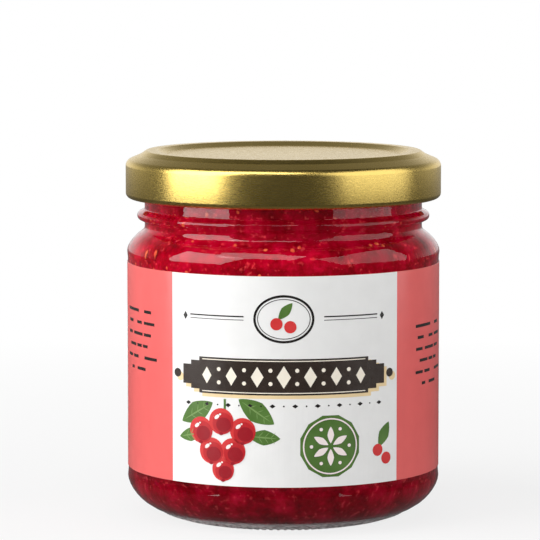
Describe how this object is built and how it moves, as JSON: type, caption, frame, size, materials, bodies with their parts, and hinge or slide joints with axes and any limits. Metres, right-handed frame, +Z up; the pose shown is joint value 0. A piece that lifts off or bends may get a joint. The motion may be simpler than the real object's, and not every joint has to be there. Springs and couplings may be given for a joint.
{
  "type": "jam jar",
  "caption": "Round glass jar with a pressed twist-off lid, filled with red fruit jam and wrapped in a paper label.",
  "frame": {"origin": "centre of the standing ring, on the plane the jar rests on", "axes": "+Z up along the jar's axis; the label's white front panel faces -Y and its open gap faces +Y"},
  "size_m": [0.066, 0.066, 0.0768],
  "materials": {
    "glass": "clear, glossy moulded glass",
    "lid_metal": "gold lacquered tinplate, satin",
    "jam": "wet, translucent deep red set jam with seeds",
    "label_paper": "coated paper, satin"
  },
  "bodies": {
    "root": {"glass_jar": "glass", "lid": "lid_metal", "jam": "jam", "label": "label_paper"}
  },
  "joints": []
}
